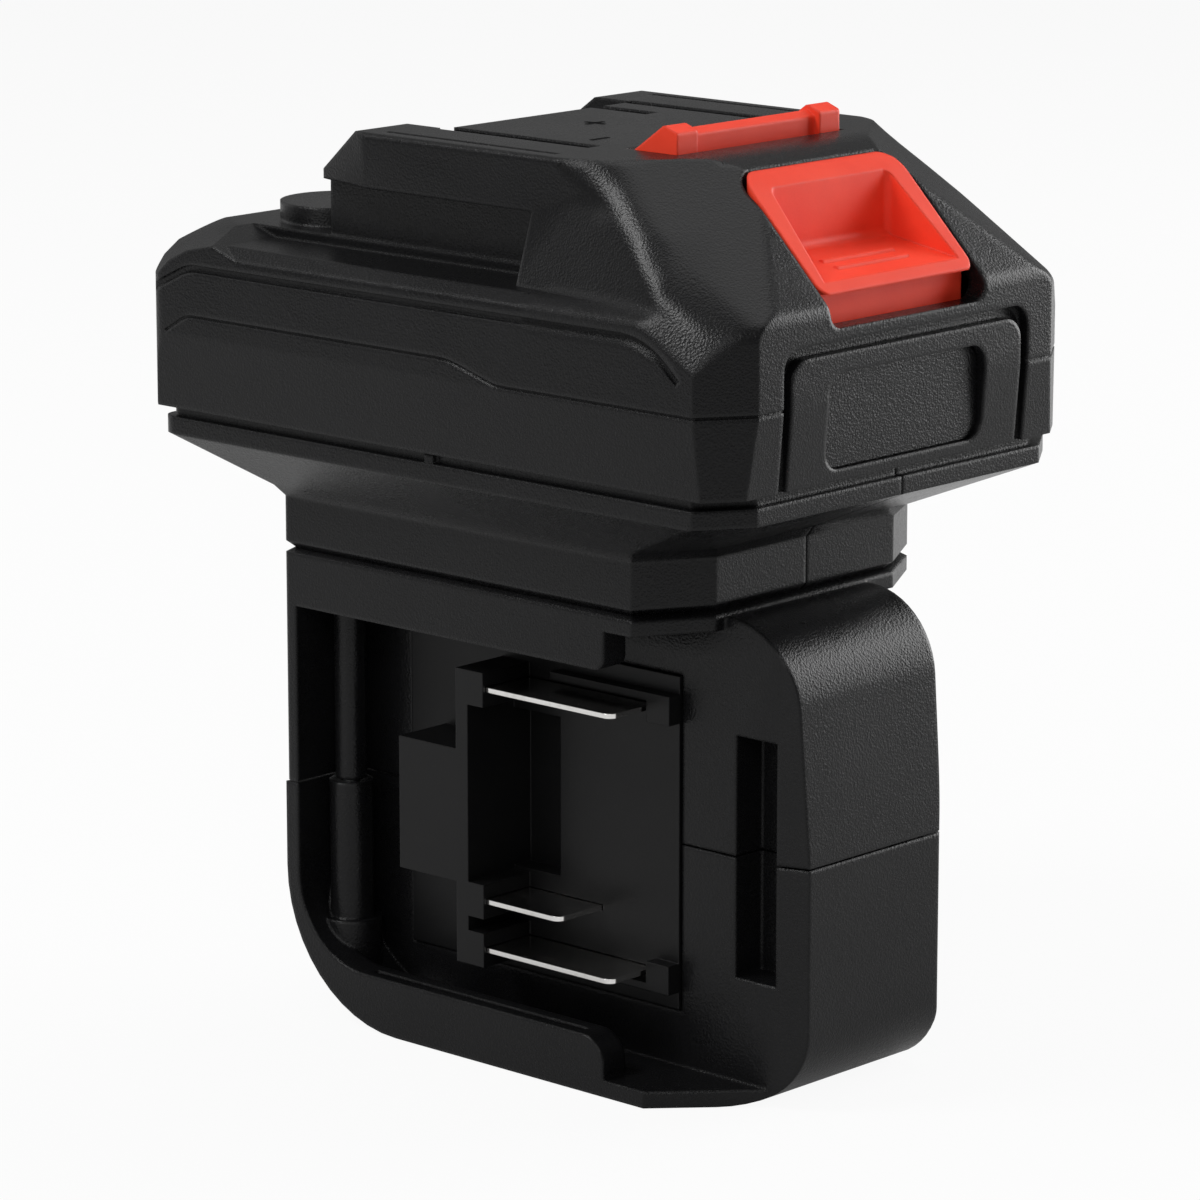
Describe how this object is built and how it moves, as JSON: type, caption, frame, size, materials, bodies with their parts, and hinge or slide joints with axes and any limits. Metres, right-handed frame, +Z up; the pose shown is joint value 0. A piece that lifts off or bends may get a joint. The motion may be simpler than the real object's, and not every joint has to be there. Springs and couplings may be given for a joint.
{
  "type": "tool battery adapter",
  "caption": "Battery adapter for cordless tools: plug head with rails and a sprung thumb latch above a flared neck, slide-in battery seat with blade terminals below.",
  "frame": {"origin": "on the plane the foot stands on, under the middle of the upper body", "axes": "+X towards the thumb button, -Y towards the open side of the battery seat, +Z up"},
  "size_m": [0.11, 0.077, 0.1349],
  "materials": {
    "housing": "fine moulded texture",
    "insert": "smooth moulded",
    "label": "satin",
    "latch_red": "satin",
    "nickel": "bright nickel plate",
    "contact_brass": "bright",
    "spring_steel": "drawn wire",
    "screw_steel": "zinc plated",
    "lead_red": "smooth",
    "lead_black": "smooth",
    "lead_white": "smooth"
  },
  "bodies": {
    "adapter": {"top_shell": "housing", "front_label": "label", "latch_springs": "spring_steel", "contact_carrier": "insert", "contact_positive": "contact_brass", "contact_negative": "contact_brass", "contact_signal": "contact_brass", "collar_left": "housing", "collar_right": "housing", "socket_upper_shell": "housing", "socket_lower_shell": "housing", "terminal_block": "insert", "blade_positive": "nickel", "blade_negative": "nickel", "blade_signal": "nickel", "wire_positive": "lead_red", "wire_negative": "lead_black", "wire_signal": "lead_white", "case_screws": "screw_steel", "neck_screws": "screw_steel", "foot_screws": "screw_steel", "carrier_screws": "screw_steel"},
    "latch": {"release_latch": "latch_red"}
  },
  "joints": [
    {"name": "latch_press", "type": "slide", "parent": "adapter", "child": "latch", "axis": [0, 0, -1], "range_m": [0, 0.0038], "stiffness_N_per_m": 1500, "springref_m": -0.002, "deforming": ["latch_springs"]}
  ]
}
